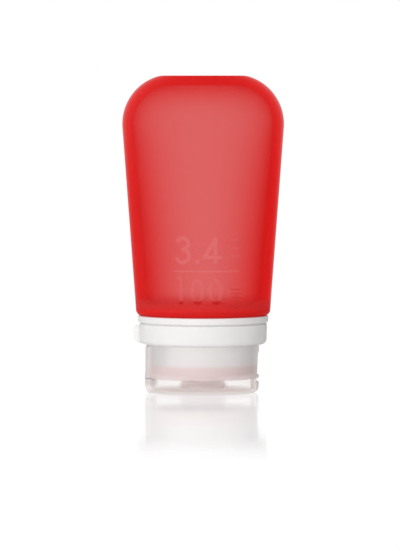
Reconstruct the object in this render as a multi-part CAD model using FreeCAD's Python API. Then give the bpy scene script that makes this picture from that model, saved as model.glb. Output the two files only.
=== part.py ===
import FreeCAD, Part
import math
import os

from FreeCAD import Vector

# A squeezable travel bottle, standing upside down on its closed flip lid, in millimetres.
# +Z is up, the lid's hinge is on the -X side, and the wide faces look along -Y and +Y.

# Neck and cap, from the mouth outwards
mouth_radius = 12.0
neck_wall = 2.4
neck_fit = 0.1
collar_wall = 2.0
thread_space = 1.4
cap_wall = 1.7

# Heights, from the floor upwards
lid_height = 5.15
lid_gap = 0.1
cap_height = 11.6
ring_gap = 0.2
ring_height = 7.35
band_height = 2.35
body_height = 84.05

# Silicone body
shoulder_overhang = 0.75
shoulder_round = 2.1
body_half_width = 28.33
base_round = 17.35
base_crown = 0.47
crown_half_depth = 6.0
flatten_power = 2.6
side_wall = 3.6
face_wall = 2.6
base_wall = 3.4
base_fill = 2.8
fill_height = 17.2
fill_power = 4.2
shoulder_wall = 3.4
cavity_round = 1.4
mouth_flare = 2.4
outside_spans = (3, 10, 7)
cavity_spans = (1, 10, 7)

# Silicone lip, which folds over the collar's end and seals under the cap
lip_gap = 0.1
lip_thickness = 2.6
lip_overhang = 0.5

# Swivel ring and the journal that it snaps onto
journal_step = 2.8
ring_clearance = 0.2
ring_wall = 2.9
ring_draft = 0.2
ring_low_round = 1.8
bead_rise = 0.5
bead_height = 2.0
band_overhang = 0.4

# Ear on the ring
ear_reach = 1.85
ear_thickness = 3.0
ear_drop = 0.9
ear_lift = 0.45
ear_top_round = 1.3
ear_low_round = 2.6

# Cap base
deck_thickness = 1.3
plug_clearance = 0.2
plug_wall = 1.2
plug_height = 2.7
boss_radius = 7.6
boss_clearance = 0.3
boss_plate = 1.0
orifice_radius = 4.5
seat_radius = 6.0
thumb_height = 9.1
thumb_flange = 0.9
thumb_depth_high = 0.4
thumb_depth_low = 0.8
hinge_stand = 0.55
hinge_width = 12.0
hinge_height = 11.2
hinge_round = 0.5

# Flip lid
lid_setback = 0.1
lid_plate = 1.5
lid_wall = 1.5
lid_edge_round = 2.3
seal_clearance = 0.25
seal_wall = 0.8
seal_height = 2.0
spigot_radius = 2.4
spigot_height = 0.8
catch_depth = 1.35
notch_height = 1.3
notch_depth = 0.85

# Living hinge strap
strap_width = 10.0
strap_height = 5.2
strap_edge = 0.15
strap_bow = 0.2

# Slit valve and its retainer
valve_fit = 0.1
valve_flange = 1.1
valve_sleeve_gap = 0.2
valve_sleeve_wall = 0.6
valve_drop = 0.6
valve_dish = 0.75
valve_skin = 0.5
slit_length = 4.4
slit_width = 0.15
retainer_gap = 0.1
retainer_wall = 1.7
retainer_rim = 1.6
retainer_rim_height = 0.8

# Shared by the pieces: chords in a rounded corner, and how far a cutting tool runs past the part
round_steps = 3
overrun = 2.0

# Radii that follow from the sizes above
neck_radius = mouth_radius + neck_wall
collar_bore = neck_radius + neck_fit
collar_radius = collar_bore + collar_wall
skirt_bore = collar_radius + thread_space
cap_radius = skirt_bore + cap_wall
lid_radius = cap_radius - lid_setback
lid_bore = lid_radius - lid_wall
journal_radius = collar_radius + journal_step
ring_bore = journal_radius + ring_clearance
ring_radius = ring_bore + ring_wall
band_radius = ring_radius + band_overhang
shoulder_radius = band_radius + shoulder_overhang
lip_radius = collar_radius + lip_overhang
hinge_reach = cap_radius + hinge_stand

# Heights that follow from the sizes above
deck_low = lid_height + lid_gap
deck_high = deck_low + deck_thickness
cap_top = deck_low + cap_height
ring_low = cap_top + ring_gap
ring_top = ring_low + ring_height
band_low = ring_top + ring_gap
band_top = band_low + band_height
body_top = band_top + body_height
lip_low = deck_high + lip_gap
collar_end = lip_low + lip_thickness
boss_end = lid_plate + boss_clearance
seat_level = boss_end + boss_plate
valve_top = seat_level + valve_flange
corner_level = body_top + base_crown - base_round


def rounded_corner(before, corner, after, rounding):
    """Points on the arc that rounds one corner of an outline."""
    back = (before - corner).normalize()
    on = (after - corner).normalize()
    half_angle = back.getAngle(on) / 2
    centre = corner + (back + on).normalize() * (rounding / math.sin(half_angle))
    start = corner + back * (rounding / math.tan(half_angle)) - centre
    turn = math.pi - 2 * half_angle
    points = []
    for i in range(round_steps + 1):
        angle = turn * i / round_steps
        points.append(centre + start * math.cos(angle) - back * rounding * math.sin(angle))
    return points


def outline(corners):
    """Face in the XZ plane. Each corner is its X, its Z and its rounding."""
    places = [Vector(x, 0, z) for x, z, rounding in corners]
    points = []
    for i, (x, z, rounding) in enumerate(corners):
        following = places[(i + 1) % len(places)]
        if rounding:
            points += rounded_corner(places[i - 1], places[i], following, rounding)
        else:
            points.append(places[i])
    return Part.Face(Part.makePolygon(points + points[:1]))


def turned(corners):
    """Solid of revolution about Z from an outline of radius, height and rounding."""
    return outline(corners).revolve(Vector(0, 0, 0), Vector(0, 0, 1), 360)


def slab(corners, width):
    """Outline in the XZ plane, made width deep and centred on Y = 0."""
    face = outline(corners)
    face.translate(Vector(0, -width / 2, 0))
    return face.extrude(Vector(0, width, 0))


def cylinder(radius, low, high):
    return Part.makeCylinder(radius, high - low, Vector(0, 0, low))


def oval(reach, depth, level):
    """Oval section of four quarter arcs, half as wide as reach and half as deep as depth."""
    stretch = FreeCAD.Matrix()
    stretch.scale(reach, depth, 1)
    stretch.move(Vector(0, 0, level))
    quarters = []
    for angle in (0, 90, 180, 270):
        quarter = Part.makeCircle(1, Vector(0, 0, 0), Vector(0, 0, 1), angle, angle + 90)
        quarters.append(quarter.transformGeometry(stretch))
    return Part.Wire(quarters)


def half_depth(level):
    """Half depth of the body's outside: as deep as wide at the foot, flat at the base."""
    foot_high = band_top + shoulder_round
    share = max(0, level - foot_high) / (body_top + base_crown - foot_high)
    return crown_half_depth + (shoulder_radius - crown_half_depth) * math.sqrt(1 - share**flatten_power)


def bulb(side, face, fill, low, high, foot_round, spans):
    """Body's outside, or with walls at its sides and faces its cavity, filled out towards the base."""
    foot_spans, side_spans, corner_spans = spans
    foot_radius = shoulder_radius - side
    foot_high = low + foot_round
    arc_radius = base_round - side
    arc_centre = body_half_width - base_round
    lean = math.atan((arc_centre + arc_radius - foot_radius) / (corner_level - foot_high))
    last_angle = math.asin((high - corner_level) / arc_radius)
    side_line = []
    for i in range(foot_spans):
        angle = math.pi / 2 * i / foot_spans
        inset = foot_round * (1 - math.sin(angle))
        side_line.append((foot_radius - inset, foot_high - foot_round * math.cos(angle)))
    side_end = corner_level - arc_radius * math.sin(lean)
    side_reach = arc_centre + arc_radius * math.cos(lean)
    for i in range(side_spans):
        share = i / side_spans
        reach = foot_radius + (side_reach - foot_radius) * share
        side_line.append((reach, foot_high + (side_end - foot_high) * share))
    for i in range(corner_spans + 1):
        angle = -lean + (last_angle + lean) * i / corner_spans
        reach = arc_centre + arc_radius * math.cos(angle)
        side_line.append((reach, corner_level + arc_radius * math.sin(angle)))
    sections = []
    for reach, level in side_line:
        share = max(0, level - high + fill_height) / fill_height
        depth = half_depth(level) - face - fill * share**fill_power
        sections.append(oval(reach, min(reach + side - face, depth), level))
    return Part.makeLoft(sections, True, True)


def squeeze_body():
    """Soft body with the neck that passes through the collar and the lip folded over its end."""
    floor = band_top + shoulder_wall
    outside = bulb(0, 0, 0, band_top, body_top, shoulder_round, outside_spans)
    neck = turned([
        (0, lip_low, 0),
        (lip_radius, lip_low, 0),
        (lip_radius, collar_end, 0),
        (neck_radius, collar_end, 0),
        (neck_radius, floor, 0),
        (0, floor, 0),
    ])
    ceiling = body_top - base_wall
    cavity = bulb(side_wall, face_wall, base_fill, floor, ceiling, cavity_round, cavity_spans)
    passage = turned([
        (0, lip_low, 0),
        (mouth_radius, lip_low, 0),
        (mouth_radius, floor, mouth_flare),
        (mouth_radius + mouth_flare + overrun, floor, 0),
        (mouth_radius + mouth_flare + overrun, floor + overrun, 0),
        (0, floor + overrun, 0),
    ])
    room = cavity.fuse(passage)
    return outside.fuse(neck).cut(room), room


def bead_corners(radius):
    """Snap bead on the journal, or the groove for it in the ring, from low to high."""
    middle = (ring_low + ring_top) / 2
    return [
        (radius, middle - bead_height / 2, 0),
        (radius + bead_rise, middle, 0),
        (radius, middle + bead_height / 2, 0),
    ]


def neck_collar():
    """Rigid collar: the threaded tube, the ring's journal and the band under the body."""
    corners = [
        (collar_bore, collar_end, 0),
        (collar_radius, collar_end, 0),
        (collar_radius, ring_low, 0),
        (journal_radius, ring_low, 0),
    ]
    corners += bead_corners(journal_radius)
    corners += [
        (journal_radius, band_low, 0),
        (band_radius, band_low, 0),
        (band_radius, band_top, 0),
        (collar_bore, band_top, 0),
    ]
    return turned(corners)


def swivel_ring():
    """Ring that turns on the collar's journal, with an ear to turn it by."""
    corners = [
        (ring_bore, ring_low, 0),
        (ring_radius - ring_draft, ring_low, ring_low_round),
        (ring_radius, ring_top, 0),
        (ring_bore, ring_top, 0),
    ]
    corners += reversed(bead_corners(ring_bore))
    ring = turned(corners)
    ear_end = -(ring_radius + ear_reach)
    ear_low = ring_low + ear_lift
    ear_top = ring_top - ear_drop
    ear = slab([
        (-ring_bore, ear_low, 0),
        (-ring_bore, ear_top, 0),
        (ear_end, ear_top, ear_top_round),
        (ear_end, ear_low, ear_low_round),
    ], ear_thickness)
    ear = ear.cut(cylinder(ring_bore + ring_wall / 2, ring_low - overrun, ring_top + overrun))
    return ring.fuse(ear)


def cap_base():
    """Screw cap: skirt, deck, plug seal, nozzle boss, hinge block and thumb recess."""
    plug_radius = mouth_radius - plug_clearance
    plug_bore = plug_radius - plug_wall
    plug_top = deck_high + plug_height
    cap = turned([
        (orifice_radius, boss_end, 0),
        (boss_radius, boss_end, 0),
        (boss_radius, deck_low, 0),
        (cap_radius, deck_low, 0),
        (cap_radius, cap_top, 0),
        (skirt_bore, cap_top, 0),
        (skirt_bore, deck_high, 0),
        (plug_radius, deck_high, 0),
        (plug_radius, plug_top, 0),
        (plug_bore, plug_top, 0),
        (plug_bore, deck_high, 0),
        (seat_radius, deck_high, 0),
        (seat_radius, seat_level, 0),
        (orifice_radius, seat_level, 0),
    ])
    block = slab([
        (-skirt_bore / 2, deck_low, 0),
        (-hinge_reach, deck_low, 0),
        (-hinge_reach, deck_low + hinge_height, hinge_round),
        (-skirt_bore / 2, deck_low + hinge_height, 0),
    ], hinge_width)
    block = block.cut(cylinder(skirt_bore, deck_low - overrun, cap_top))
    recess = slab([
        (cap_radius - thumb_depth_low, deck_low + thumb_flange, 0),
        (cap_radius - thumb_depth_high, deck_low + thumb_height, 0),
        (cap_radius + overrun, deck_low + thumb_height, 0),
        (cap_radius + overrun, deck_low + thumb_flange, 0),
    ], cap_radius)
    return cap.fuse(block).cut(recess).removeSplitter()


def flip_lid():
    """Lid that swings off the nozzle: seal ring round the boss, spigot under the valve, thumb notch."""
    seal_bore = boss_radius + seal_clearance
    seal_radius = seal_bore + seal_wall
    seal_top = lid_plate + seal_height
    spigot_top = lid_plate + spigot_height
    lid = turned([
        (0, 0, 0),
        (lid_radius, 0, lid_edge_round),
        (lid_radius, lid_height, 0),
        (lid_bore, lid_height, 0),
        (lid_bore, lid_plate, 0),
        (seal_radius, lid_plate, 0),
        (seal_radius, seal_top, 0),
        (seal_bore, seal_top, 0),
        (seal_bore, lid_plate, 0),
        (spigot_radius, lid_plate, 0),
        (spigot_radius, spigot_top, 0),
        (0, spigot_top, 0),
    ])
    block = slab([
        (-lid_bore / 2, 0, 0),
        (-hinge_reach, 0, lid_edge_round),
        (-hinge_reach, lid_height, 0),
        (-lid_bore / 2, lid_height, 0),
    ], hinge_width)
    block = block.cut(cylinder(lid_bore, 0, lid_height))
    catch = slab([
        (lid_bore - catch_depth, lid_plate, 0),
        (lid_radius, lid_plate, 0),
        (lid_radius, lid_height, 0),
        (lid_bore - catch_depth, lid_height, 0),
    ], lid_radius)
    catch = catch.common(cylinder(lid_bore + lid_wall / 2, 0, lid_height))
    notch = slab([
        (lid_radius - notch_depth, lid_height - notch_height, 0),
        (lid_radius - notch_depth, lid_height + overrun, 0),
        (lid_radius + overrun, lid_height + overrun, 0),
        (lid_radius + overrun, lid_height - notch_height, 0),
    ], lid_radius)
    return lid.fuse(block).fuse(catch).cut(notch).removeSplitter()


def living_hinge():
    """Thin strap that joins the lid to the cap base and folds as the lid opens."""
    low = (lid_height + deck_low - strap_height) / 2
    face = -hinge_reach
    edge = face - strap_edge
    ends = [Vector(face, 0, low), Vector(edge, 0, low)]
    ends += [Vector(edge, 0, low + strap_height), Vector(face, 0, low + strap_height)]
    crest = Vector(edge - strap_bow, 0, low + strap_height / 2)
    edges = [
        Part.LineSegment(ends[0], ends[1]).toShape(),
        Part.Arc(ends[1], crest, ends[2]).toShape(),
        Part.LineSegment(ends[2], ends[3]).toShape(),
        Part.LineSegment(ends[3], ends[0]).toShape(),
    ]
    strap = Part.Face(Part.Wire(edges))
    strap.translate(Vector(0, -strap_width / 2, 0))
    return strap.extrude(Vector(0, strap_width, 0))


def slit_valve():
    """Soft valve: a flange on the seat and a dished skin, cut with a cross, in the orifice."""
    sleeve_radius = orifice_radius - valve_sleeve_gap
    sleeve_bore = sleeve_radius - valve_sleeve_wall
    flange_radius = seat_radius - valve_fit
    skin_low = seat_level - valve_drop
    valve = turned([
        (0, skin_low + valve_dish, 0),
        (sleeve_radius, skin_low, 0),
        (sleeve_radius, seat_level, 0),
        (flange_radius, seat_level, 0),
        (flange_radius, valve_top, 0),
        (sleeve_bore, valve_top, 0),
        (sleeve_bore, skin_low + valve_skin, 0),
        (0, skin_low + valve_skin + valve_dish, 0),
    ])
    for angle in (0, 90):
        slit = Part.makeBox(slit_length, slit_width, overrun, Vector(-slit_length / 2, -slit_width / 2, skin_low))
        slit.rotate(Vector(0, 0, 0), Vector(0, 0, 1), angle)
        valve = valve.cut(slit)
    return valve


def valve_retainer():
    """Snap ring that holds the valve on its seat from inside the cap."""
    tube_radius = seat_radius - valve_fit
    tube_bore = tube_radius - retainer_wall
    rim_low = deck_high + retainer_gap
    return turned([
        (tube_bore, valve_top + retainer_gap, 0),
        (tube_radius, valve_top + retainer_gap, 0),
        (tube_radius, rim_low, 0),
        (seat_radius + retainer_rim, rim_low, 0),
        (seat_radius + retainer_rim, rim_low + retainer_rim_height, 0),
        (tube_bore, rim_low + retainer_rim_height, 0),
    ])


def main():
    os.makedirs("parts", exist_ok=True)
    body, space = squeeze_body()
    pieces = {
        "squeeze_body": body,
        "neck_collar": neck_collar(),
        "swivel_ring": swivel_ring(),
        "cap_base": cap_base(),
        "flip_lid": flip_lid(),
        "living_hinge": living_hinge(),
        "slit_valve": slit_valve(),
        "valve_retainer": valve_retainer(),
    }
    for name, shape in pieces.items():
        shape.exportStep(f"parts/{name}.step")
        box = shape.BoundBox
        print(f"{name}: valid {shape.isValid()}, solids {len(shape.Solids)}, volume {shape.Volume:.0f},", end=" ")
        print(f"x {box.XMin:.2f} {box.XMax:.2f}, y {box.YMin:.2f} {box.YMax:.2f}, z {box.ZMin:.2f} {box.ZMax:.2f}")
    print(f"room inside, to the mouth: {space.Volume / 1000:.1f} ml")


main()
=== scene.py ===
# %% [markdown]
# # A squeezable travel bottle
# This lesson dresses a small silicone bottle that stands upside down on its flip lid.
# The packed solids fix every size and every joint. Blender adds what the eye wants:
# smooth walls, soft edges, threads, the raised capacity mark and the finishes.

# %% Load the frame
import math

import bmesh
import bpy
import numpy as np
from mathutils import Matrix, Vector


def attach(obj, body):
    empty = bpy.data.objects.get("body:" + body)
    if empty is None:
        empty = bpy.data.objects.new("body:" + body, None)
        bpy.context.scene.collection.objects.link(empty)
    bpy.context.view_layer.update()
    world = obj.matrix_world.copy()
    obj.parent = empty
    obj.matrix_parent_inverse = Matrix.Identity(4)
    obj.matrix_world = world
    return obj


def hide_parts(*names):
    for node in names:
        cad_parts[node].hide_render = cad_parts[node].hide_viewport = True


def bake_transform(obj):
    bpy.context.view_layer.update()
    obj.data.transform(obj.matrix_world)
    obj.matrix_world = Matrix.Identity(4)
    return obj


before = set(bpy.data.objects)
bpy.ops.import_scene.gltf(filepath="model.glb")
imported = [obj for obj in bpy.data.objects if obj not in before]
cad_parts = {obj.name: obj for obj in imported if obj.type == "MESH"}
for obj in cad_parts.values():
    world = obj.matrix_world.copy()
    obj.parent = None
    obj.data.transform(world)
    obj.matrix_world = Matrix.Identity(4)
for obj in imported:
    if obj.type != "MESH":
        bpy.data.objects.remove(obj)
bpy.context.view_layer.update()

# %% [markdown]
# ## Drawing a profile
# Nearly every piece of a bottle is turned, so it starts as half of its cross-section.
# A profile could be typed in as a list of points, but arcs are easier to get right with a pen:
# a straight run extrudes the last vertex, an arc spins it about a centre, and a sharp corner
# is noted and later rounded with a vertex bevel. Sizes are given in millimetres.

# %% A pen that draws with extrude, spin and bevel
MM = 0.001
SAME_PLACE = 0.002 * MM


class Pen:
    """Draws a profile in the XZ plane, in millimetres."""

    def __init__(self, x, z):
        self.bm = bmesh.new()
        self.tip = bmesh.ops.create_vert(self.bm, co=(x * MM, 0, z * MM))["vert"][0]
        self.corners = []

    def line(self, x, z, rounding=0, pieces=1):
        """Straight run to a point, whose corner is rounded once the profile is done."""
        start = self.tip.co.copy()
        end = Vector((x * MM, 0, z * MM))
        for i in range(pieces):
            self.tip = bmesh.ops.extrude_vert_indiv(self.bm, verts=[self.tip])["verts"][0]
            self.tip.co = start.lerp(end, (i + 1) / pieces)
        if rounding:
            self.corners.append((self.tip, rounding))
        return self

    def arc(self, x, z, degrees, pieces):
        """Arc about a centre: a positive angle turns from up to right."""
        made = bmesh.ops.spin(
            self.bm, geom=[self.tip], cent=(x * MM, 0, z * MM), axis=(0, 1, 0),
            angle=math.radians(degrees), steps=pieces)
        self.tip = [part for part in made["geom_last"] if isinstance(part, bmesh.types.BMVert)][0]
        return self

    def rounded(self, segments=4):
        """The profile's bmesh, with its noted corners beveled."""
        for corner, rounding in self.corners:
            bmesh.ops.bevel(
                self.bm, geom=[corner], offset=rounding * MM, affect="VERTICES",
                segments=segments, profile=0.5, material=-1)
        return self.bm


print("the pen draws with", [name for name in vars(Pen) if not name.startswith("_")])

# %% [markdown]
# ## From a profile to a piece
# A lathe turns a blank, and a spin turns a profile in the same way. A Screw modifier could do it
# too, but a spin leaves a plain mesh that later steps can divide, press and cut. A full spin
# leaves a seam and poles, so doubles are merged before the faces are turned outwards.


# %% Turning a profile and making an object
def turned(pen, steps=144):
    """Spins a profile once round Z, closes its seam and poles, and turns its faces outwards."""
    bm = pen.rounded()
    bmesh.ops.spin(
        bm, geom=bm.verts[:] + bm.edges[:], cent=(0, 0, 0), axis=(0, 0, 1),
        angle=math.tau, steps=steps, use_merge=True)
    bmesh.ops.remove_doubles(bm, verts=bm.verts, dist=SAME_PLACE)
    bmesh.ops.recalc_face_normals(bm, faces=bm.faces)
    return bm


def shade(mesh, sharp_degrees):
    """Shades a mesh smooth except at its sharp edges."""
    mesh.polygons.foreach_set("use_smooth", [True] * len(mesh.polygons))
    mesh.set_sharp_from_angle(angle=math.radians(sharp_degrees))


def piece(name, bm, sharp_degrees=40):
    """A mesh object from a bmesh."""
    mesh = bpy.data.meshes.new(name)
    bm.to_mesh(mesh)
    bm.free()
    shade(mesh, sharp_degrees)
    made = bpy.data.objects.new(name, mesh)
    bpy.context.scene.collection.objects.link(made)
    print(f"{name}: {len(mesh.vertices)} vertices, {len(mesh.polygons)} faces")
    return made


# %% [markdown]
# ## Levels and radii
# The bottle is stacked from the floor up: lid, cap, ring, band, body. These are the same
# numbers as the solids have, so each dressed piece lies exactly on the solid it stands for.

# %% Sizes shared by the pieces, in millimetres
mouth, neck, lip = 12.0, 14.4, 17.0
collar_bore, collar, journal, band = 14.5, 16.5, 19.3, 22.8
skirt_bore, cap, lid_bore, lid = 17.9, 19.6, 18.0, 19.5
ring_bore, ring, shoulder = 19.5, 22.4, 23.55
lid_floor, lid_top, deck_low, deck_high = 1.5, 5.15, 5.25, 6.55
lip_low, lip_top = 6.65, 9.25
ring_low, ring_top, band_low, band_top = 17.05, 24.4, 24.6, 26.95
body_top = 111.0
hinge_face, hinge_half = -20.15, 6.0
print("stacked from 0 to", body_top, "mm")

# %% [markdown]
# ## The silicone body
# The real body is one soft moulding: round at the shoulder, flattened to an oval at the base,
# with a wall a few millimetres thick and a lip folded over the collar's end. The wall matters,
# because the colour deepens where the eye looks along it. A Solidify modifier would give an
# even wall, but this one is thicker at the sides and at the base. So the outside and the
# cavity are two turned shells, and each ring of a shell is pressed into its oval. The two
# shells meet at the mouth, where their doubles are merged.

# %% How deep the oval is at each height
corner_level, corner_middle, corner_radius = 94.12, 10.98, 17.35
base_crown, crown_depth, flatten_power = 0.47, 6.0, 2.6
foot_round, cavity_round, mouth_flare = 2.1, 5.0, 2.4
edge_round, edge_share = 8.0, 0.45
fill_height, fill_power = 17.2, 4.2


def half_depth(z):
    """Half depth of the outside: as deep as wide at the shoulder, flat at the base."""
    foot = band_top + foot_round
    share = np.clip((z - foot) / (body_top + base_crown - foot), 0, 1)
    return crown_depth + (shoulder - crown_depth) * np.sqrt(1 - share**flatten_power)


print(f"half depth {half_depth(band_top):.1f} mm at the shoulder, {half_depth(body_top):.1f} on top")


# %% One side of the wall
class Shell:
    """One side of the wall: the outside, or the cavity with walls at its sides and faces."""

    def __init__(self, low, high, rounding, side=0.0, face=0.0, fill=0.0):
        self.side, self.face, self.fill, self.rounding = side, face, fill, rounding
        self.low, self.high = low, high
        self.foot, self.foot_high = shoulder - side, low + rounding
        self.radius = corner_radius - side
        rise = corner_level - self.foot_high
        self.lean = math.atan((corner_middle + self.radius - self.foot) / rise)
        self.side_top = corner_level - self.radius * math.sin(self.lean)
        self.side_reach = corner_middle + self.radius * math.cos(self.lean)
        self.edge = min(edge_round, edge_share * self.radius)
        up, left = high - self.edge - corner_level, self.radius - self.edge
        self.flat_reach = corner_middle + math.sqrt(left**2 - up**2)
        self.last = math.atan2(up, self.flat_reach - corner_middle)
        self.edge_low = corner_level + self.radius * math.sin(self.last)

    def depth(self, z):
        """Half depth of the oval at a height: the cavity's wall grows thicker at the base."""
        share = np.clip((z - self.high + fill_height) / fill_height, 0, 1)
        return half_depth(z) - self.face - self.fill * share**fill_power

    def reach(self, z):
        """Half width of the oval at a height."""
        if z > self.edge_low:
            rise = min(self.edge, z - self.high + self.edge)
            return self.flat_reach + math.sqrt(max(0, self.edge**2 - rise**2))
        if z > self.side_top:
            return corner_middle + math.sqrt(self.radius**2 - (z - corner_level) ** 2)
        if z > self.foot_high:
            share = (z - self.foot_high) / (self.side_top - self.foot_high)
            return self.foot + (self.side_reach - self.foot) * share
        drop = min(self.rounding, self.foot_high - z)
        return self.foot - self.rounding + math.sqrt(self.rounding**2 - drop**2)

    def press(self, bm):
        """Presses every ring of the shell into its oval."""
        for vert in bm.verts:
            z = vert.co.z / MM
            if z > self.low - 0.001:
                reach = self.reach(z)
                vert.co.y *= min(reach + self.side - self.face, self.depth(z)) / reach


foot_gap, end_wall = 0.15, 3.4
outside = Shell(band_top + foot_gap, body_top, foot_round)
cavity = Shell(
    band_top + end_wall, body_top - end_wall, cavity_round, side=3.6, face=2.6, fill=2.8)
print(f"flat base {2 * outside.flat_reach:.1f} by {2 * outside.depth(body_top):.1f} mm")

# %% Draw and turn the outside, from the base down to the mouth
wall_steps = 176
pen = Pen(0, body_top)
pen.line(outside.flat_reach, body_top, pieces=10)
pen.arc(outside.flat_reach, body_top - outside.edge, 90 - math.degrees(outside.last), 8)
pen.arc(corner_middle, corner_level, math.degrees(outside.last + outside.lean), 40)
pen.line(outside.foot, outside.foot_high, pieces=60)
pen.arc(outside.foot - foot_round, outside.foot_high, 90, 10)
pen.line(neck, outside.low, pieces=3)
pen.line(neck, lip_top, pieces=4)
pen.line(lip, lip_top, 0.4)
pen.line(lip, lip_low, 0.5)
pen.line(mouth, lip_low)
outer_bm = turned(pen, wall_steps)
outside.press(outer_bm)
print("outside turned:", len(outer_bm.verts), "vertices")

# %% Draw and turn the cavity, from the mouth up to the base
pen = Pen(mouth, lip_low)
pen.line(mouth, cavity.low - mouth_flare, pieces=4)
pen.arc(mouth + mouth_flare, cavity.low - mouth_flare, 90, 8)
pen.line(cavity.foot - cavity_round, cavity.low, pieces=3)
pen.arc(cavity.foot - cavity_round, cavity.foot_high, -90, 8)
pen.line(cavity.side_reach, cavity.side_top, pieces=50)
pen.arc(corner_middle, corner_level, -math.degrees(cavity.last + cavity.lean), 30)
pen.arc(cavity.flat_reach, cavity.high - cavity.edge, math.degrees(cavity.last) - 90, 8)
pen.line(0, cavity.high, pieces=8)
inner_bm = turned(pen, wall_steps)
cavity.press(inner_bm)
print("cavity turned:", len(inner_bm.verts), "vertices")

# %% [markdown]
# ## The capacity mark
# The front carries a raised mark: two plain numbers, one above and one below a line, and three
# short bars at the right of each. Text objects could be wrapped onto the wall, but raised
# moulding has soft sides and grows out of the wall without a seam. So the front faces are
# divided finely, put back on the exact oval, and lifted by their distance to the strokes.
# Two attributes note where a highlight is painted on the mark and where shade is painted on it.


# %% Strokes of the numbers, in millimetres on the front
def stroke_arc(x, z, wide, high, start, end, pieces=14):
    """Points on part of an oval, from one angle to another in degrees."""
    angles = np.radians(np.linspace(start, end, pieces))
    return [(x + wide * math.cos(a), z + high * math.sin(a)) for a in angles]


strokes = [
    stroke_arc(-7.0, 53.0, 2.0, 1.9, 150, -90) + stroke_arc(-7.0, 48.8, 2.2, 2.3, 90, -150),
    [(-2.0, 46.8), (-1.8, 46.8)],
    [(4.3, 46.7), (4.3, 54.8), (0.6, 48.3), (6.0, 48.3)],
    [(-8.9, 40.9), (-7.6, 41.8), (-7.6, 32.7)],
    stroke_arc(-1.9, 36.6, 1.75, 3.95, 0, 360, 28),
    stroke_arc(4.4, 36.6, 1.9, 3.95, 0, 360, 28),
]
thin_strokes = [[(-10.1, 43.45), (11.9, 43.45)]]
thin_strokes += [[(10.0, z), (12.1, z)] for z in (54.1, 51.4, 48.7)]
thin_strokes += [[(9.6, z), (12.4, z)] for z in (37.1, 35.7, 34.3)]
print("the mark has", len(strokes), "broad and", len(thin_strokes), "thin strokes")


# %% Height of the mark, and its painted highlight and painted shade
def stroke_height(points, paths, half_width, soft):
    """1 on a stroke and 0 off it, with soft sides."""
    nearest = np.full(len(points), 1e9)
    for path in paths:
        for start, end in zip(path, path[1:]):
            a, run = np.array(start), np.subtract(end, start)
            along = np.clip(((points - a) @ run) / (run @ run), 0, 1)
            away = np.linalg.norm(points - a - along[:, None] * run, axis=1)
            nearest = np.minimum(nearest, away)
    share = np.clip((half_width + soft - nearest) / (2 * soft), 0, 1)
    return share * share * (3 - 2 * share)


# Strengths of the painted highlight and painted shade on each kind of stroke.
upper_row, lower_bars_top, low_end_top, low_end_fade = 44, 42, 33.6, 0.7
upper_number, upper_bar, lower_number, mark_line = 0.75, 0.8, 0.45, 0.9
lower_bar, stroke_side = 0.45, 0.5


def mark_painted_light(z, number, bar):
    """How much painted highlight and painted shade the wall gets at a place on the mark.

    Strokes get a painted highlight on top, and painted shade at their sides, at their low ends and on
    the lower bars.
    """
    height = max(number, bar)
    low_end = min(1.0, max(0.0, (low_end_top - z) / low_end_fade)) if number else 0.0
    if z > upper_row:
        strength = upper_number if number > bar else upper_bar
    else:
        strength = lower_number if number > bar else mark_line
    small_bar = lower_bar * bar if z < lower_bars_top else 0.0
    highlight_tone = 0.0 if small_bar else strength * height * (1 - low_end)
    side_shade_tone = stroke_side * height * (1 - height) * (1 - low_end)
    return highlight_tone, max(small_bar, height * low_end) + side_shade_tone


print("pale and deep tone on the line:", mark_painted_light(thin_strokes[0][0][1], 0.0, 1.0))

# %% Divide the front and put it back on the oval
mark_middle, mark_half, mark_low, mark_high = 1, 13, 30.2, 57.3


def in_mark(vert):
    """True on the part of the front that carries the mark."""
    x, y, z = vert.co / MM
    return y < 0 and abs(x - mark_middle) < mark_half and mark_low < z < mark_high


# The mark's painted highlight and painted shade are kept as attributes of the outside.
painted_highlight = outer_bm.verts.layers.float.new("mark_painted_highlight")
painted_shade = outer_bm.verts.layers.float.new("mark_painted_shade")
front = [face for face in outer_bm.faces if all(in_mark(vert) for vert in face.verts)]
front_edges = list({edge for face in front for edge in face.edges})
bmesh.ops.subdivide_edges(outer_bm, edges=front_edges, cuts=4, use_grid_fill=True)
mark_verts = [vert for vert in outer_bm.verts if in_mark(vert)]
for vert in mark_verts:
    z = vert.co.z / MM
    share = vert.co.x / MM / outside.reach(z)
    vert.co.y = -min(outside.depth(z), outside.reach(z)) * math.sqrt(1 - share**2) * MM
print("mark divided into", len(mark_verts), "vertices")

# %% Lift the mark
mark_relief = 0.4
number_half, number_soft, bar_half, bar_soft = 0.72, 0.28, 0.28, 0.25
places = np.array([(vert.co.x / MM, vert.co.z / MM) for vert in mark_verts])
number_lift = stroke_height(places, strokes, number_half, number_soft)
bar_lift = stroke_height(places, thin_strokes, bar_half, bar_soft)
for vert, number, bar in zip(mark_verts, number_lift, bar_lift):
    z, height = vert.co.z / MM, max(number, bar)
    # Painted highlight and painted shade at this place of the mark.
    vert[painted_highlight], vert[painted_shade] = mark_painted_light(z, number, bar)
    if height:
        slope = Vector((
            vert.co.x / outside.reach(z) ** 2, vert.co.y / outside.depth(z) ** 2, 0))
        vert.co += slope.normalized() * (mark_relief * height * MM)
print("mark lifted by", mark_relief, "mm")

# %% [markdown]
# ## One wall from two shells
# A moulded wall is one closed skin. A Boolean could subtract the cavity from the outside, but the
# shells share their ring of vertices at the mouth, so merging doubles is enough and keeps the
# even faces. The cavity's faces are remembered in an attribute, because the finish has
# its pigment only on the outside.

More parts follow.
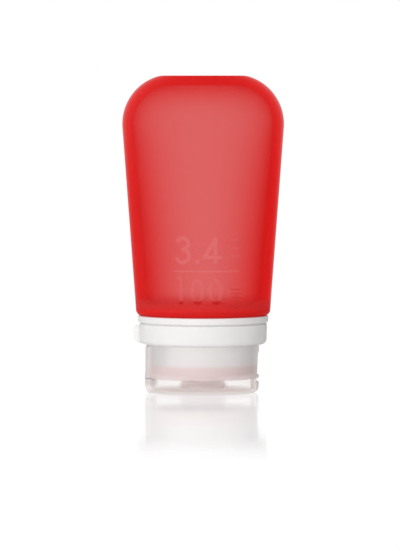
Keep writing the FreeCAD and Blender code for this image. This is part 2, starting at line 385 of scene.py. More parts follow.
# %% Join the shells
outer_mesh = bpy.data.meshes.new("outer_shell")
inner_mesh = bpy.data.meshes.new("inner_shell")
for mesh, shell_bm in ((outer_mesh, outer_bm), (inner_mesh, inner_bm)):
    shell_bm.to_mesh(mesh)
    shell_bm.free()
inner_mesh.polygons.foreach_set("material_index", [1] * len(inner_mesh.polygons))
wall_bm = bmesh.new()
wall_bm.from_mesh(outer_mesh)
wall_bm.from_mesh(inner_mesh)
bmesh.ops.remove_doubles(wall_bm, verts=wall_bm.verts, dist=SAME_PLACE)
bmesh.ops.recalc_face_normals(wall_bm, faces=wall_bm.faces)
open_edges = [edge for edge in wall_bm.edges if len(edge.link_faces) != 2]
wall_volume = wall_bm.calc_volume() * 1e6
print("open edges in the wall:", len(open_edges), "volume", round(wall_volume, 1), "cm3")
body = piece("bottle_body", wall_bm, 50)


# %% Note the cavity's faces
def is_inner(polygon):
    """The cavity's faces, and those that lie against the collar."""
    return polygon.material_index == 1 or lip_top < polygon.center.z / MM < outside.low + 0.01


cavity_faces = [float(is_inner(polygon)) for polygon in body.data.polygons]
inner_mark = body.data.attributes.new("cavity_face", "FLOAT", "FACE")
inner_mark.data.foreach_set("value", cavity_faces)
body.data.polygons.foreach_set("material_index", [0] * len(cavity_faces))
print("inner faces:", round(sum(cavity_faces)))
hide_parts("squeeze_body")
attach(body, "bottle")

# %% [markdown]
# ## The collar
# A hard white collar stiffens the soft neck. Its band shows under the body, the ring snaps over a
# bead on its journal, and its tube carries the screw thread. It is round all over, so one
# profile, drawn once round the section and closed, gives the whole piece.

# %% Draw and turn the collar
bead_middle, bead_half, bead_out = (ring_low + ring_top) / 2, 1.0, 0.5
step_radius, step_high, band_end = ring - 0.4, band_low + 0.25, band_top + 0.13
pen = Pen(collar_bore, lip_top)
pen.line(collar, lip_top, 0.35)
pen.line(collar, ring_low)
pen.line(journal, ring_low, 0.3)
pen.line(journal, bead_middle - bead_half)
pen.line(journal + bead_out, bead_middle, 0.3)
pen.line(journal, bead_middle + bead_half)
pen.line(journal, band_low)
pen.line(step_radius, band_low)
pen.line(step_radius, step_high, 0.1)
pen.line(band, step_high, 0.25)
pen.line(band, band_end, 0.3)
pen.line(collar_bore, band_end)
pen.line(collar_bore, lip_top)
collar_piece = piece("collar", turned(pen))
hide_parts("neck_collar")
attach(collar_piece, "bottle")

# %% [markdown]
# ## Screw threads
# A moulded thread is a small trapezoid that climbs round the tube and runs out at both ends. A
# Screw modifier makes such a helix but leaves blunt ends. Here a spin lifts the section a little
# in each step, and the ridge is then squeezed down to the tube over the last millimetres.


# %% A thread ridge
def thread(name, root, crest, low, turns, start_degrees, lead=4.0, steps=72):
    """Helical ridge with a broad root and a narrow crest that runs out at both ends."""
    half_root, half_crest, run_out, least_height = 0.75, 0.3, 8.0, 0.05
    corners = [(root, -half_root), (crest, -half_crest), (crest, half_crest), (root, half_root)]
    bm = bmesh.new()
    verts = [
        bmesh.ops.create_vert(bm, co=(x * MM, 0, (low + z) * MM))["vert"][0] for x, z in corners]
    section = bmesh.ops.contextual_create(bm, geom=verts)["faces"][0]
    count = round(steps * turns)
    bmesh.ops.spin(
        bm, geom=[section], cent=(0, 0, 0), axis=(0, 0, 1),
        dvec=(0, 0, lead * turns / count * MM), angle=math.tau * turns, steps=count)
    bmesh.ops.remove_doubles(bm, verts=bm.verts, dist=SAME_PLACE)
    bmesh.ops.holes_fill(bm, edges=bm.edges)
    bmesh.ops.recalc_face_normals(bm, faces=bm.faces)
    for vert in bm.verts:
        out = vert.co.xy.length / MM
        turn = math.atan2(vert.co.y, vert.co.x) / math.tau
        done = turn + round((vert.co.z / MM - low) / lead - turn)
        to_end = min(done, turns - done) * math.tau * root
        keep = least_height + (1 - least_height) * min(1.0, max(0.0, to_end / run_out))
        wanted = root + (out - root) * keep
        vert.co.x *= wanted / out
        vert.co.y *= wanted / out
    bmesh.ops.rotate(
        bm, verts=bm.verts, cent=(0, 0, 0),
        matrix=Matrix.Rotation(math.radians(start_degrees), 3, "Z"))
    return piece(name, bm, 60)


thread_turns, thread_start, thread_sink = 1.5, 216, 0.05
collar_crest, collar_thread_low = 17.25, 10.1
collar_thread = thread(
    "collar_thread", collar - thread_sink, collar_crest, collar_thread_low,
    thread_turns, thread_start)
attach(collar_thread, "bottle")

# %% [markdown]
# ## The swivel ring and its ear
# A loose ring turns on the collar, and a small ear on it takes a tag or a finger. The ring is turned
# with a groove for the journal's bead. The ear could be drawn as an outline and extruded,
# but a block with its outer edges beveled gives the same soft form in fewer steps.

# %% Draw and turn the ring
ring_lip, ring_end = ring - 0.6, band_low - 0.03
pen = Pen(ring_bore, ring_low)
pen.line(ring - 0.2, ring_low, 1.8)
pen.line(ring, ring_top - 0.2, 0.25)
pen.line(ring_lip, ring_top - 0.1, 0.1)
pen.line(ring_lip, ring_end)
pen.line(ring_bore, ring_end, 0.2)
pen.line(ring_bore, bead_middle + bead_half)
pen.line(ring_bore + bead_out, bead_middle, 0.3)
pen.line(ring_bore, bead_middle - bead_half)
pen.line(ring_bore, ring_low)
ring_piece = piece("neck_ring", turned(pen))
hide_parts("swivel_ring")
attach(ring_piece, "ring")


# %% Blocks with chosen edges rounded
def block(x_low, x_high, half_width, z_low, z_high):
    """A plain block, ready to be beveled."""
    size = Vector((x_high - x_low, 2 * half_width, z_high - z_low))
    middle = Vector((x_high + x_low, 0, z_high + z_low)) / 2
    bm = bmesh.new()
    bmesh.ops.create_cube(bm, size=1)
    bmesh.ops.scale(bm, verts=bm.verts, vec=size * MM)
    bmesh.ops.translate(bm, verts=bm.verts, vec=middle * MM)
    return bm


def bevel_edges(bm, edges, offset, segments):
    """Rounds edges by an offset in millimetres."""
    bmesh.ops.bevel(
        bm, geom=edges, offset=offset * MM, affect="EDGES", segments=segments,
        profile=0.5, material=-1)


def round_edges(bm, chosen, offset, segments=6):
    """Rounds the edges that a test on their middle points and directions picks."""
    edges = []
    for edge in bm.edges:
        start, end = (vert.co for vert in edge.verts)
        if chosen((start + end) / 2 / MM, (end - start).normalized()):
            edges.append(edge)
    bevel_edges(bm, edges, offset, segments)


# %% The ear
ear_tip, ear_root, ear_half, ear_middle = -24.25, -21.1, 1.5, 20
ear_bm = block(ear_tip, ear_root, ear_half, ring_low + 0.45, ring_top - 0.9)
round_edges(ear_bm, lambda at, way: at.x < -24 and abs(way.y) > 0.9 and at.z > ear_middle, 1.3)
round_edges(ear_bm, lambda at, way: at.x < -24 and abs(way.y) > 0.9 and at.z < ear_middle, 2.6)
bevel_edges(ear_bm, [edge for edge in ear_bm.edges if edge.calc_face_angle(0) > 1.2], 0.4, 3)
ear = piece("ring_ear", ear_bm)
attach(ear, "ring")

# %% [markdown]
# ## Adding and cutting blocks
# Cap base and lid are turned, but the hinge blocks, the thumb recess and the valve's slits aren't
# round. They could be modelled into the turned mesh face by face. A Boolean with the exact
# solver is surer, and its result is kept as a plain mesh, so that no modifier stays live.


# %% Joining and cutting with Booleans
def combined(name, base_bm, added=(), cut=()):
    """Joins blocks to a turned shape, or cuts them from it, and keeps the result as one mesh."""
    made = piece(name, base_bm)
    helpers = []
    for operation, group in (("UNION", added), ("DIFFERENCE", cut)):
        for i, bm in enumerate(group):
            tool = piece(f"{name}_{operation.lower()}_{i}", bm)
            helpers.append(tool)
            step = made.modifiers.new(operation.title(), "BOOLEAN")
            step.operation = operation
            step.solver = "EXACT"
            step.object = tool
    finished = made.evaluated_get(bpy.context.evaluated_depsgraph_get())
    whole = bpy.data.meshes.new_from_object(finished)
    made.modifiers.clear()
    made.data = whole
    for tool in helpers:
        bpy.data.objects.remove(tool)
    shade(whole, 35)
    print(f"{name} combined: {len(whole.polygons)} faces")
    return made


# %% [markdown]
# ## The cap base
# The frosted cap screws onto the collar. It is translucent, so it needs true walls and hollows: the
# eye sees the collar and the red lip through its skirt. The profile runs from the nozzle's
# mouth out to the skirt and back along the plug seal to the valve's seat. Then the hinge
# block is joined on the left, and the sloping thumb recess is cut away on the right.

# %% Draw the cap's profile
boss, boss_end, seat = 7.6, 1.55, 2.8
orifice, valve_bore = 4.5, 6.0
plug, plug_bore, plug_top = 11.8, 10.6, deck_high + 2.7
skirt_end = ring_low - 0.04
pen = Pen(orifice, boss_end)
pen.line(boss, boss_end, 0.4)
pen.line(boss, deck_low, 0.3)
pen.line(cap, deck_low, 0.25)
pen.line(cap, skirt_end, 0.15)
pen.line(skirt_bore, skirt_end, 0.15)
pen.line(skirt_bore, deck_high, 0.3)
pen.line(plug, deck_high, 0.2)
pen.line(plug, plug_top, 0.3)
pen.line(plug_bore, plug_top, 0.3)
pen.line(plug_bore, deck_high, 0.2)
pen.line(valve_bore, deck_high, 0.2)
pen.line(valve_bore, seat)
pen.line(orifice, seat, 0.2)
pen.line(orifice, boss_end)
print("nozzle", 2 * boss, "mm across, plug seal", 2 * plug, "mm across")

# %% Hinge block, thumb recess and the cap's thread
thumb_half, recess_low, recess_high = 9.7, 0.8, 0.4
hinge_root, hinge_top = -18.6, deck_low + 11.2
hinge_bm = block(hinge_face, hinge_root, hinge_half, deck_low + 0.05, hinge_top)
round_edges(hinge_bm, lambda at, way: at.x < -20 and abs(way.z) < 0.1 and at.z > 14, 0.9)
round_edges(hinge_bm, lambda at, way: at.x < -20 and abs(way.z) > 0.9, 0.4)
recess_bm = block(cap - recess_low, cap + 2, thumb_half, deck_low + 0.9, deck_low + 9.1)
for vert in recess_bm.verts:
    if vert.co.x < cap * MM and vert.co.z > 10 * MM:
        vert.co.x = (cap - recess_high) * MM
cap_piece = combined("cap_shell", turned(pen), [hinge_bm], [recess_bm])
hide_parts("cap_base")
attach(cap_piece, "cap")

cap_crest, cap_thread_low = 17.15, 8.8
cap_thread = thread(
    "cap_thread", skirt_bore + thread_sink, cap_crest, cap_thread_low,
    thread_turns, thread_start)
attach(cap_thread, "cap")

# %% [markdown]
# ## The flip lid
# The bottle stands on its lid, a clear cup with a seal ring round the nozzle and a small spigot under
# the valve. It is turned like the cap. The large rounding at its foot is a bevel on the
# profile's corner, and the hinge block repeats it so that both run out at the same level.

# %% Draw, turn and finish the lid
seal, seal_bore, seal_top = 8.65, 7.85, lid_floor + 2.0
spigot, spigot_top, lid_round, notch_depth = 2.4, lid_floor + 0.8, 2.3, 0.85
pen = Pen(0, 0)
pen.line(lid, 0, lid_round)
pen.line(lid, lid_top, 0.25)
pen.line(lid_bore, lid_top, 0.2)
pen.line(lid_bore, lid_floor, 0.5)
pen.line(seal, lid_floor, 0.2)
pen.line(seal, seal_top, 0.25)
pen.line(seal_bore, seal_top, 0.25)
pen.line(seal_bore, lid_floor, 0.2)
pen.line(spigot, lid_floor, 0.2)
pen.line(spigot, spigot_top, 0.2)
pen.line(0, spigot_top)
lid_hinge_root = -18.2
lid_hinge_bm = block(hinge_face, lid_hinge_root, hinge_half, 0.02, lid_top - 0.05)
round_edges(
    lid_hinge_bm, lambda at, way: at.x < -20 and abs(way.z) < 0.1 and at.z < 1, lid_round)
round_edges(lid_hinge_bm, lambda at, way: at.x < -20 and abs(way.z) > 0.9, 0.4)
notch_bm = block(lid - notch_depth, lid + 2, thumb_half, lid_top - 1.3, lid_top + 2)
lid_piece = combined("lid_shell", turned(pen), [lid_hinge_bm], [notch_bm])
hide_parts("flip_lid")
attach(lid_piece, "lid")

# %% [markdown]
# ## The catch
# Behind the thumb notch the lid has a thick pad that snaps over the cap's flange. Its outer face
# follows the lid's bore, so it is cut from a cylinder of that size: one bisect takes away
# all but the sliver at the right, and the open side is filled.

# %% The catch behind the lid's thumb notch
catch_radius, catch_depth, catch_high = lid_bore - 0.03, 1.35, lid_top - lid_floor - 0.1
catch_bm = bmesh.new()
bmesh.ops.create_cone(
    catch_bm, cap_ends=True, segments=144, radius1=catch_radius * MM, radius2=catch_radius * MM,
    depth=catch_high * MM)
bmesh.ops.translate(
    catch_bm, verts=catch_bm.verts, vec=(0, 0, (lid_top + lid_floor) / 2 * MM))
bmesh.ops.bisect_plane(
    catch_bm, geom=catch_bm.verts[:] + catch_bm.edges[:] + catch_bm.faces[:],
    plane_co=((lid_bore - catch_depth) * MM, 0, 0), plane_no=(1, 0, 0), clear_inner=True)
bmesh.ops.holes_fill(catch_bm, edges=catch_bm.edges)
bmesh.ops.recalc_face_normals(catch_bm, faces=catch_bm.faces)
catch = piece("lid_catch", catch_bm)
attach(catch, "lid")

# %% [markdown]
# ## The living hinge
# A thin strap joins lid and cap and bends each time the lid opens. An armature could bend it.
# Here the strap is a grid with enough rows between its ends to bend smoothly.

# %% The strap of the living hinge
strap_wide, strap_high, strap_middle = 10, 5.2, 5.2
strap_gap, strap_bow, strap_thick = 0.04, 0.15, 0.2
strap_bm = bmesh.new()
bmesh.ops.create_grid(strap_bm, x_segments=26, y_segments=12, size=0.5)
for vert in strap_bm.verts:
    up, across = vert.co.x, vert.co.y
    bow = 1 - (2 * up) ** 2
    out = hinge_face - strap_gap - strap_bow * bow
    vert.co = Vector((out, across * strap_wide, strap_middle + up * strap_high)) * MM
bmesh.ops.recalc_face_normals(strap_bm, faces=strap_bm.faces)
bmesh.ops.solidify(strap_bm, geom=strap_bm.faces, thickness=strap_thick * MM)
bmesh.ops.recalc_face_normals(strap_bm, faces=strap_bm.faces)
strap = piece("hinge_strap", strap_bm)
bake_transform(strap)
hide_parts("living_hinge")

# %% [markdown]
# ## The slit valve
# A soft valve in the nozzle keeps the liquid in until the body is squeezed: a flange on the seat and
# a dished skin with a crossed slit. The slit could be a dark line on the skin, but then it
# would stay flat when the camera comes close. Two thin blocks are cut out of it instead.

# %% Draw, turn and slit the valve
sleeve, sleeve_bore, flange, flange_top = 4.3, 3.7, 5.9, seat + 1.1
slit_half, slit_thin = 2.2, 0.075
pen = Pen(0, seat + 0.15)
pen.line(sleeve, seat - 0.6, 0.15, pieces=6)
pen.line(sleeve, seat)
pen.line(flange, seat, 0.2)
pen.line(flange, flange_top, 0.2)
pen.line(sleeve_bore, flange_top, 0.2)
pen.line(sleeve_bore, seat - 0.1, 0.2)
pen.line(0, seat + 0.65, pieces=6)
slits = []
for across, along in ((slit_half, slit_thin), (slit_thin, slit_half)):
    slit = bmesh.new()
    bmesh.ops.create_cube(slit, size=2)
    bmesh.ops.scale(slit, verts=slit.verts, vec=(across * MM, along * MM, 2 * MM))
    bmesh.ops.translate(slit, verts=slit.verts, vec=(0, 0, (seat + 0.2) * MM))
    slits.append(slit)
valve = combined("valve", turned(pen, 96), (), slits)
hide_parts("slit_valve")
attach(valve, "cap")

# %% [markdown]
# ## The valve's retainer
# A stiff ring pushed in from inside the cap holds the valve's flange on its seat. It is a short tube
# with a rim, and like every round piece here it is one closed profile, turned.

# %% Draw and turn the retainer
tube_bore, tube_low, rim_low, rim_high = 4.2, seat + 1.2, deck_high + 0.1, deck_high + 0.9
pen = Pen(tube_bore, tube_low)
pen.line(flange, tube_low, 0.2)
pen.line(flange, rim_low)
pen.line(boss, rim_low, 0.2)
pen.line(boss, rim_high, 0.2)
pen.line(tube_bore, rim_high, 0.3)
pen.line(tube_bore, tube_low)
retainer = piece("valve_ring", turned(pen, 96))
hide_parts("valve_retainer")
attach(retainer, "retainer")

# %% [markdown]
# ## Writing finishes as expressions
# A finish is a small network of nodes. Placing them by hand hides the idea, so a socket is
# wrapped in a class whose plus, minus and times add the Math nodes, and one method adds
# any other node from its type, its settings and its inputs.


# %% A wrapped socket
class Wire:
    """An output socket, with Python's operators as Math nodes."""

    def __init__(self, finish, socket):
        self.finish = finish
        self.socket = socket

    def maths(self, operation, first, second):
        return self.finish.node("ShaderNodeMath", {"operation": operation}, {0: first, 1: second})

    def __add__(self, other):
        return self.maths("ADD", self, other)

    def __sub__(self, other):
        return self.maths("SUBTRACT", self, other)

    def __rsub__(self, other):
        return self.maths("SUBTRACT", other, self)

    def __mul__(self, other):
        return self.maths("MULTIPLY", self, other)

    __radd__ = __add__
    __rmul__ = __mul__


# %% A finish and the few nodes that it needs
class Finish:
    """A material or world, built from its nodes."""

    def __init__(self, owner):
        self.owner = owner
        owner.use_nodes = True
        self.tree = owner.node_tree
        self.tree.nodes.clear()

    def node(self, kind, settings=None, inputs=None, output=0):
        """Adds a node: its settings first, then the values or wires of its inputs."""
        made = self.tree.nodes.new(kind)
        for key, value in (settings or {}).items():
            setattr(made, key, value)
        for key, value in (inputs or {}).items():
            if isinstance(value, Wire):
                self.tree.links.new(value.socket, made.inputs[key])
            else:
                made.inputs[key].default_value = value
        return Wire(self, made.outputs[output]) if made.outputs else None

    def place(self):
        """Where a point lies in the piece's own space, in metres."""
        return self.node("ShaderNodeTexCoord", output="Object")

    def along(self, axis):
        """One coordinate of the place."""
        return self.node("ShaderNodeSeparateXYZ", {}, {0: self.place()}, output=axis)

    def radius(self):
        """Distance of the place from the bottle's axis."""
        level = {0: self.place(), 1: (1, 1, 0)}
        flat = self.node("ShaderNodeVectorMath", {"operation": "MULTIPLY"}, level)
        return self.node(
            "ShaderNodeVectorMath", {"operation": "LENGTH"}, {0: flat}, output="Value")

    def attribute(self, name):
        """A value that the mesh carries."""
        return self.node("ShaderNodeAttribute", {"attribute_name": name}, output="Fac")

    def noise(self, scale, detail=2.0):
        """Noise between 0 and 1 in the piece's own space, with so many lumps a metre."""
        inputs = {"Vector": self.place(), "Scale": scale, "Detail": detail}
        return self.node("ShaderNodeTexNoise", {}, inputs)

    def mix(self, share, first, second):
        """A colour between two others."""
        inputs = {0: share, 6: first, 7: second}
        return self.node("ShaderNodeMix", {"data_type": "RGBA"}, inputs, output=2)

    def soft_step(self, value, low, high):
        """0 below one value and 1 above another, with a soft step between them."""
        return self.node("ShaderNodeMapRange", {"interpolation_type": "SMOOTHSTEP"}, {
            "Value": value, "From Min": low, "From Max": high, "To Min": 0.0, "To Max": 1.0})

    def bump(self, height, distance, strength):
        """Small relief in the shading alone."""
        inputs = {"Height": height, "Distance": distance, "Strength": strength}
        return self.node("ShaderNodeBump", {}, inputs)

    def clear(self, colour):
        """Lets light straight through, tinted."""
        return self.node("ShaderNodeBsdfTransparent", {}, {"Color": colour})

    def blend(self, share, first, second):
        """A shader between two others."""
        return self.node("ShaderNodeMixShader", {}, {0: share, 1: first, 2: second})

    def seen(self):
        """1 for what the eye sees straight, in a mirror or through glass, and 0 for plain light."""
        outputs = self.node("ShaderNodeLightPath").socket.node.outputs
        straight, mirrored, through = (
            Wire(self, outputs[f"Is {ray} Ray"]) for ray in ("Camera", "Glossy", "Transmission"))
        return straight + mirrored + through

    def surface(self, shader, absorb=None, density=0.0):
        """Ends a material, with an absorbing inside where a colour for it is given."""
        inputs = {"Surface": shader}
        if absorb:
            inside = {"Color": absorb, "Density": density}
            inputs["Volume"] = self.node("ShaderNodeVolumeAbsorption", {}, inside)
        self.node("ShaderNodeOutputMaterial", {}, inputs)
        print("finish:", self.owner.name, "with", len(self.tree.nodes), "nodes")
        return self.owner


def finish(name):
    """A new, empty material."""
    return Finish(bpy.data.materials.new(name))


# %% [markdown]
# ## Red silicone
# Pigmented silicone is part solid colour and part clear: some light comes back from the pigment
# at the surface, and the rest goes through and loses its green and blue on the way. A painted
# gradient could fake the dark rim, but it would stay put when the bottle turns. Here the
# outside mixes pigment with a clear share, the cavity's faces are clear alone, and the wall
# between them absorbs, so the rim deepens wherever the eye looks along the wall. Rays go
# straight through, because a bent ray would draw hard lines that such a soft, frosted wall
# doesn't show. Towards the foot the silicone is thick, so its pigment is redder and it is
# less clear there. On the mark a highlight is painted into the colour on top of the strokes,
# and shade is painted on their sides, their low ends and the lower bars. Where the mark is
# painted, the silicone is also less clear.

# %% Colours of the silicone
silicone_red = (0.86, 0.112, 0.108, 1)
silicone_cloud = (0.82, 0.1, 0.097, 1)
silicone_foot = (0.9, 0.022, 0.022, 1)
# Painted highlight and painted shade colours for the mark's strokes.
silicone_painted_highlight = (0.98, 0.42, 0.42, 1)
silicone_painted_shade = (0.5, 0.016, 0.02, 1)
silicone_clear = (0.931, 0.908, 0.908, 1)
wall_absorb, wall_density = (0.972, 0.02, 0.02, 1), 300.0
wall_share, foot_share, mark_share = 0.85, 0.35, 0.04
print("silicone lets", wall_share, "through, and", foot_share, "at its foot")


# %% The silicone
def silicone():
    """Pigment over a clear, absorbing wall, deeper at the foot, with painted highlight and painted
    shade on the mark.
    """
    f = finish("red silicone")
    height = f.along("Z")
    thinner = f.soft_step(height, 0.0275, 0.0345)
    paler = f.soft_step(height, 0.028, 0.0335)
    in_cavity = f.attribute("cavity_face")
    painted_highlight, painted_shade = f.attribute("mark_painted_highlight"), f.attribute("mark_painted_shade")
    cloud, grain = f.noise(140), f.noise(2600, 1.0)
    # The clear share drops where highlight and shade are painted on the mark.
    share = foot_share + (wall_share - foot_share) * thinner * (1 - painted_shade) - mark_share * painted_highlight
    wall_red = f.mix(cloud, silicone_cloud, silicone_red)
    wall_red = f.mix(paler * (1 - painted_shade), silicone_foot, wall_red)
    # The base colour carries the mark's painted highlight and painted shade, the shade over the foot's
    # redder colour.
    pigment = f.node("ShaderNodeBsdfPrincipled", {}, {
        "Base Color": f.mix(painted_shade, f.mix(painted_highlight, wall_red, silicone_painted_highlight), silicone_painted_shade),
        "Roughness": 0.45 + 0.1 * grain, "IOR": 1.41, "Specular IOR Level": 0.05,
        "Normal": f.bump(grain, 0.000005, 0.2)})
    all_share = share + (1 - share) * in_cavity
    wall = f.blend(all_share, pigment, f.clear(silicone_clear))
    return f.surface(wall, wall_absorb, wall_density)


body.data.materials.append(silicone())

# %% [markdown]
# ## White plastic
# Collar and ring are dense white plastic with a satin skin. A plain white would look like paper, so
# a little light spreads under the surface, and a fine grain breaks the gloss.


# %% White plastic
def white_plastic():
    """Satin white with soft edges."""
    f = finish("white plastic")
    cloud, grain = f.noise(220), f.noise(4200, 1.0)
    shader = f.node("ShaderNodeBsdfPrincipled", {}, {
        "Base Color": f.mix(cloud, (0.8, 0.793, 0.786, 1), (0.84, 0.835, 0.83, 1)),
        "Roughness": 0.45 + 0.12 * grain, "IOR": 1.49, "Specular IOR Level": 0.12,
        "Subsurface Weight": 0.5, "Subsurface Radius": (1, 1, 1), "Subsurface Scale": 0.0012,
        "Normal": f.bump(grain, 0.00001, 0.3)})
    return f.surface(shader)


white = white_plastic()
for made in (collar_piece, collar_thread, ring_piece, ear):
    made.data.materials.append(white)

# %% [markdown]
# ## Frosted and clear plastic
# Cap and lid are the same plastic without pigment. Frosted plastic scatters a share of the light at
# its skin, which reads as haze, and lets the rest through. Rough glass would blur what lies
# behind but needs many samples, so haze and a clear share are mixed instead. The skirt is
# milky, with a painted blush of red light where the red lip lies behind it, and painted shade
# on its left side and at the hinge block. The nozzle lets far more through, and its haze and
# outer wall carry painted red light. The lid's haze is tinted with painted red light and has
# painted shade at its hinge end. The lid is clear between its frosted ends, and less clear at
# its rim, where the plastic is thick.

# %% Haze over clear plastic
# The nozzle's clear tint is painted red light.
white_clear, nozzle_clear_painted_red = (1, 1, 1, 1), (1, 0.97, 0.965, 1)
frosted_absorb, lid_absorb = (0.4, 0.15, 0.1, 1), (0.5, 0.2, 0.1, 1)


def hazy_plastic(f, colour, clear_share, clear, absorb, density):
    """Haze over a clear plastic that absorbs a little on the way through."""
    grain = f.noise(3600, 1.0)
    haze = f.node("ShaderNodeBsdfPrincipled", {}, {
        "Base Color": colour, "Roughness": 0.4 + 0.1 * grain, "IOR": 1.49,
        "Specular IOR Level": 0.15, "Normal": f.bump(grain, 0.000006, 0.3)})
    return f.surface(f.blend(clear_share, haze, clear), absorb, density)


# %% Frosted plastic
skirt_dim, skirt_bright = (0.94, 0.92, 0.91, 1), (0.98, 0.96, 0.95, 1)
# Painted shade: darker on the skirt's left side and at the hinge block.
skirt_left_painted_shade, hinge_painted_shade = (0.86, 0.84, 0.83, 1), (0.7, 0.67, 0.66, 1)
# Painted red light: the blush over the lip on the skirt, and the nozzle's pink haze.
lip_painted_red_light, nozzle_haze_painted_red = (0.92, 0.79, 0.78, 1), (0.98, 0.88, 0.86, 1)
nozzle_share, nozzle_frost, hinge_share, skirt_share = 0.97, 0.17, 0.22, 0.4


def frosted_plastic():
    """Milky skirt with painted red light from the lip below, painted shade on its left side and at the
    hinge, and clearer at the nozzle.
    """
    f = finish("frosted plastic")
    height, side = f.along("Z"), f.along("X")
    above_lip = f.soft_step(height, 0.0092, 0.0108)
    above_nozzle = f.soft_step(height, 0.005, 0.0054)
    off_hinge = f.soft_step(side, -0.0193, -0.0186)
    nozzle_wall = (1 - above_nozzle) * f.soft_step(f.radius(), 0.0068, 0.0074)
    milky = f.mix(f.noise(260), skirt_dim, skirt_bright)
    # Painted shade: the skirt's left side is darker.
    milky = f.mix(f.soft_step(side, -0.0145, -0.0105), skirt_left_painted_shade, milky)
    # Painted red light: the nozzle's pink haze, and the blush on the skirt over the lip.
    colour = f.mix(above_nozzle, nozzle_haze_painted_red, f.mix(above_lip, lip_painted_red_light, milky))
    # Painted shade at the hinge block and the skirt's far left edge.
    colour = f.mix(off_hinge, hinge_painted_shade, colour)
    loss = (nozzle_share - hinge_share) - (skirt_share - hinge_share) * off_hinge
    clear_share = nozzle_share - nozzle_frost * nozzle_wall - above_nozzle * loss
    # The nozzle's outer wall tints what passes through with painted red light.
    clear = f.blend(nozzle_wall, f.clear(white_clear), f.clear(nozzle_clear_painted_red))
    return hazy_plastic(f, colour, clear_share, clear, frosted_absorb, 22.0)


frosted = frosted_plastic()

# %% Clear plastic
# The lid's haze is its own pale colour, tinted pink with painted red light.
lid_dim, lid_bright = (0.9, 0.85, 0.84, 1), (0.94, 0.9, 0.89, 1)
# Painted shade at the lid's hinge end.
lid_hinge_painted_shade = (0.76, 0.72, 0.71, 1)
window_share, end_frost, rim_frost = 0.955, 0.62, 0.2


def clear_plastic():
    """Clear windows between frosted ends, over a rim where the plastic is thick."""
    f = finish("clear plastic")
    height, side = f.along("Z"), f.along("X")
    at_hinge = 1 - f.soft_step(side, -0.0185, -0.0155)
    hinge_end = at_hinge * f.soft_step(height, 0.0012, 0.003)
    end = hinge_end + f.soft_step(side, 0.0178, 0.0194)
    rim = 1 - f.soft_step(height, 0.0004, 0.002)
    # Painted shade at the hinge end, over the pink-tinted haze.
    colour = f.mix(hinge_end, f.mix(f.noise(260), lid_dim, lid_bright), lid_hinge_painted_shade)
    clear_share = window_share - end_frost * end - rim_frost * rim * (1 - end)
    return hazy_plastic(f, colour, clear_share, f.clear(white_clear), lid_absorb, 20.0)


lid_clear = clear_plastic()


# %% Catch and valve, and which piece wears what
def soft_plastic(name, clear_share, density):
    """Even haze with a warm tint of painted red light."""
    f = finish(name)
    # The warm tint is painted red light.
    colour = f.mix(f.noise(260), (0.92, 0.83, 0.82, 1), (0.97, 0.89, 0.88, 1))
    return hazy_plastic(f, colour, clear_share, f.clear(white_clear), frosted_absorb, density)


for made in (cap_piece, cap_thread, strap, retainer):
    made.data.materials.append(frosted)
lid_piece.data.materials.append(lid_clear)
catch.data.materials.append(soft_plastic("catch plastic", 0.75, 8.0))
valve.data.materials.append(soft_plastic("valve silicone", 0.88, 12.0))

# %% [markdown]
# ## The floor
# The bottle stands on a white, slightly mirroring sheet. Its mirror fades with distance in front of
# the bottle and behind it, as in the photograph. A matt sheet alone would come out grey, so the
# eye sees mostly a white glow and only a faint shadow in it. Plain light meets the matt
# sheet alone, so that the glow doesn't light the bottle from below.

# %% The white sheet
mirror_share, white_share, floor_size = 0.42, 0.9, 30
floor_bm = bmesh.new()
bmesh.ops.create_grid(floor_bm, x_segments=2, y_segments=2, size=floor_size)
floor = piece("floor", floor_bm)
f = finish("white sheet")
back = f.along("Y")
fade = mirror_share * f.soft_step(back, -0.3, -0.19) * (1 - f.soft_step(back, 0.05, 0.4))
glow = f.node("ShaderNodeEmission", {}, {"Color": (1, 1, 1, 1), "Strength": 1.07})
matt = f.node("ShaderNodeBsdfDiffuse", {}, {"Color": (0.92, 0.92, 0.92, 1)})
mirror = f.node("ShaderNodeBsdfGlossy", {}, {"Color": (1, 1, 1, 1), "Roughness": 0.08})
sheet = f.blend(f.seen() * white_share, matt, glow)
floor.data.materials.append(f.surface(f.blend(fade, sheet, mirror)))

# %% [markdown]
# ## The light tent
# Small clear things are photographed in a tent of white cloth. The tent could be modelled, but the
# world does the same without noise: white to the eye and to glass, softer to matt surfaces,
# and brighter above, in front and on the left than on the right.

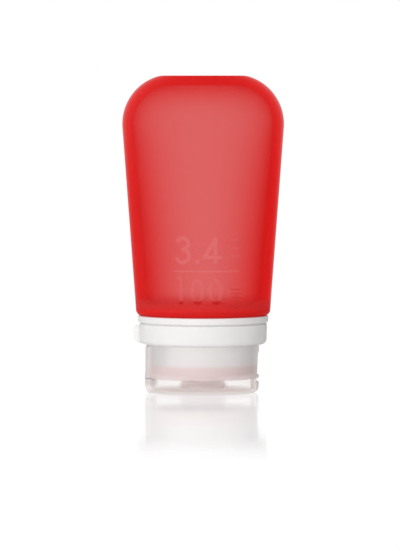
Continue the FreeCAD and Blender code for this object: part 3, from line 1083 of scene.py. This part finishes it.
# %% The tent
middle_light, light_swing, brightest = 0.42, 0.31, (-0.5, -0.45, 0.74)
world = bpy.data.worlds.new("tent")
bpy.context.scene.world = world
f = Finish(world)
way = f.node("ShaderNodeTexCoord", output="Generated")
key = f.node(
    "ShaderNodeVectorMath", {"operation": "DOT_PRODUCT"}, {0: way, 1: brightest}, output="Value")
strength = middle_light + light_swing * key
tent_light = f.node("ShaderNodeBackground", {}, {"Color": (1, 1, 1, 1), "Strength": strength})
white_tent = f.node("ShaderNodeBackground", {}, {"Color": (1, 1, 1, 1), "Strength": 1.0})
f.node("ShaderNodeOutputWorld", {}, {"Surface": f.blend(f.seen(), tent_light, white_tent)})
world.cycles.sampling_method = "NONE"
print("tent built with", len(f.tree.nodes), "nodes")

# %% [markdown]
# ## The key lamp
# One wide, low lamp in front on the left gives the soft gradient from left to right on ring and
# cap. A point lamp would draw a hard spot on the satin plastic, so it is a long area lamp.

# %% A soft key lamp
lamp = bpy.data.lights.new("key", "AREA")
lamp.shape, lamp.size, lamp.size_y, lamp.energy = "RECTANGLE", 1.3, 0.22, 14.5
key_lamp = bpy.data.objects.new("key", lamp)
key_lamp.location = (-0.54, -1.63, 0.125)
aim = Vector((0, 0, 0.06)) - key_lamp.location
key_lamp.rotation_euler = aim.to_track_quat("-Z", "Y").to_euler()
bpy.context.scene.collection.objects.link(key_lamp)
print("key lamp", lamp.energy, "W,", round(aim.length, 2), "m away")

# %% [markdown]
# ## The camera
# The photograph was taken from far away and a little above, so the bottle's sides hardly converge. The
# camera stands where one pixel at the bottle is the millimetres that the sizes were measured
# with, and it is tilted until the base lies on the row of the picture where it belongs.
# A ray may cross the walls of lid, nozzle, valve and retainer twice each, so more clear
# faces in a row are allowed than Blender's own limit of eight.

# %% The camera and the view
picture_high, base_row, focal_pixels, millimetres_per_pixel = 551, 76, 4500, 0.35
sensor, camera_side, camera_high = 36.0, -1.1, 110.85
distance = focal_pixels * millimetres_per_pixel * MM
tilt = math.atan((picture_high / 2 - base_row) / focal_pixels)
lens = bpy.data.cameras.new("camera")
lens.sensor_width = sensor
lens.lens = sensor * focal_pixels / picture_high
lens.clip_end = 50
camera = bpy.data.objects.new("camera", lens)
camera.location = (camera_side * MM, -distance, camera_high * MM)
camera.rotation_euler = (math.radians(90) - tilt, 0, 0)
bpy.context.scene.collection.objects.link(camera)
bpy.context.scene.camera = camera
bpy.context.scene.view_settings.view_transform = "Standard"
bpy.context.scene.cycles.transparent_max_bounces = 32
print("camera", tuple(round(c, 3) for c in camera.location), "lens", round(lens.lens, 1), "mm")

# %% [markdown]
# ## Sizes
# The dressed bottle must be as large as its solids, apart from small relief.
